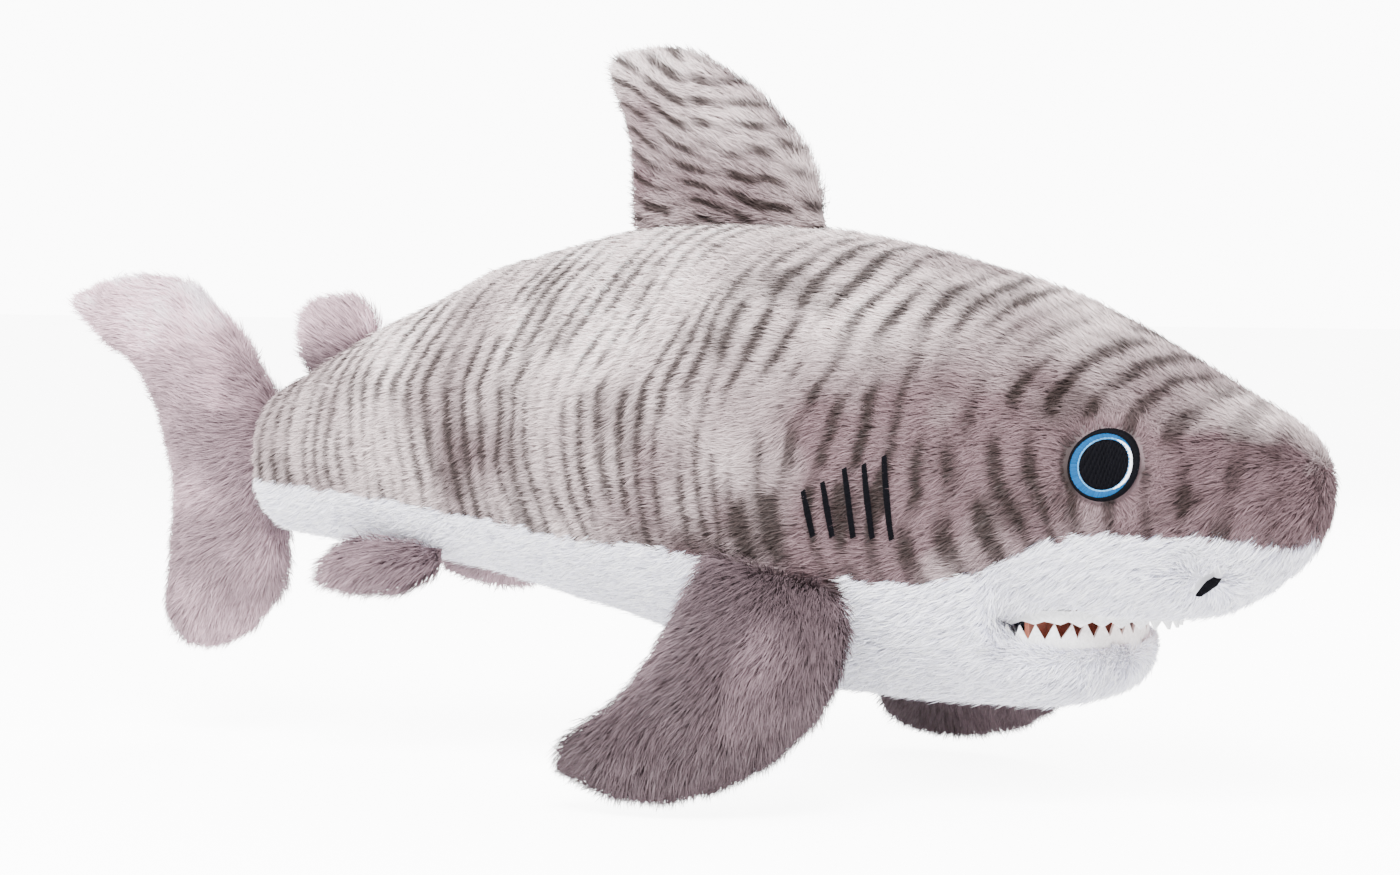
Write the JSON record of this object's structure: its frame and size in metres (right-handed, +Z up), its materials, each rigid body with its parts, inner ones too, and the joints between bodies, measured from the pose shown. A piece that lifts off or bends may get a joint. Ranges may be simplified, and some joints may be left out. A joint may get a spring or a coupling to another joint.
{
  "type": "plush shark",
  "caption": "Stuffed plush shark with striped back, white belly, solid fins that flop at their seams, embroidered eyes and gills, and a small open mouth.",
  "frame": {"origin": "centre of the flat patch of the belly that the toy rests on, in the middle plane", "axes": "+X to the snout, +Y to the shark's left, +Z up, out of the back"},
  "size_m": [0.3925, 0.1696, 0.1827],
  "materials": {
    "striped_pile": "matte",
    "white_pile": "matte",
    "mauve_pile": "matte",
    "mouth_fabric": "matte",
    "white_felt": "matte",
    "black_thread": "satin",
    "eye_thread": "satin",
    "fibre": "matte"
  },
  "bodies": {
    "body": {"back_panel_left": "striped_pile", "back_panel_right": "striped_pile", "belly_panel": "white_pile", "muzzle_panel": "white_pile", "mouth_lining": "mouth_fabric", "upper_teeth": "white_felt", "lower_teeth": "white_felt", "body_stuffing": "fibre", "jaw_stuffing": "fibre", "eye_left": "eye_thread", "gill_slit_left_1": "black_thread", "gill_slit_left_2": "black_thread", "gill_slit_left_3": "black_thread", "gill_slit_left_4": "black_thread", "gill_slit_left_5": "black_thread", "nostril_left": "black_thread", "eye_right": "eye_thread", "gill_slit_right_1": "black_thread", "gill_slit_right_2": "black_thread", "gill_slit_right_3": "black_thread", "gill_slit_right_4": "black_thread", "gill_slit_right_5": "black_thread", "nostril_right": "black_thread"},
    "dorsal_fin": {"dorsal_fin_panel_left": "striped_pile", "dorsal_fin_panel_right": "striped_pile", "dorsal_fin_stuffing": "fibre"},
    "second_dorsal": {"second_dorsal_panel_left": "mauve_pile", "second_dorsal_panel_right": "mauve_pile", "second_dorsal_stuffing": "fibre"},
    "caudal_fin": {"caudal_fin_panel_left": "mauve_pile", "caudal_fin_panel_right": "mauve_pile", "caudal_fin_stuffing": "fibre"},
    "pectoral_left": {"pectoral_left_top": "mauve_pile", "pectoral_left_bottom": "mauve_pile", "pectoral_left_stuffing": "fibre"},
    "pectoral_right": {"pectoral_right_top": "mauve_pile", "pectoral_right_bottom": "mauve_pile", "pectoral_right_stuffing": "fibre"},
    "pelvic_left": {"pelvic_left_top": "mauve_pile", "pelvic_left_bottom": "mauve_pile", "pelvic_left_stuffing": "fibre"},
    "pelvic_right": {"pelvic_right_top": "mauve_pile", "pelvic_right_bottom": "mauve_pile", "pelvic_right_stuffing": "fibre"}
  },
  "joints": [
    {"name": "dorsal_sway", "type": "hinge", "parent": "body", "child": "dorsal_fin", "pos_m": [-0.065, 0, 0.1215], "axis": [1, 0, 0], "range_deg": [-18, 18]},
    {"name": "second_dorsal_sway", "type": "hinge", "parent": "body", "child": "second_dorsal", "pos_m": [-0.193, 0, 0.084], "axis": [0.9239, 0, 0.3827], "range_deg": [-15, 15]},
    {"name": "tail_sway", "type": "hinge", "parent": "body", "child": "caudal_fin", "pos_m": [-0.2145, 0, 0.055], "axis": [0, 0, 1], "range_deg": [-20, 20]},
    {"name": "pectoral_left_flap", "type": "hinge", "parent": "body", "child": "pectoral_left", "pos_m": [-0.0215, 0.0505, 0.0345], "axis": [0.9816, 0, -0.1908], "range_deg": [-10, 40]},
    {"name": "pectoral_right_flap", "type": "hinge", "parent": "body", "child": "pectoral_right", "pos_m": [-0.0215, -0.0505, 0.0345], "axis": [-0.9816, 0, 0.1908], "range_deg": [-10, 40]},
    {"name": "pelvic_left_flap", "type": "hinge", "parent": "body", "child": "pelvic_left", "pos_m": [-0.158, 0.019, 0.0345], "axis": [0.9962, 0, -0.0872], "range_deg": [-10, 30]},
    {"name": "pelvic_right_flap", "type": "hinge", "parent": "body", "child": "pelvic_right", "pos_m": [-0.158, -0.019, 0.0345], "axis": [-0.9962, 0, 0.0872], "range_deg": [-10, 30]}
  ]
}
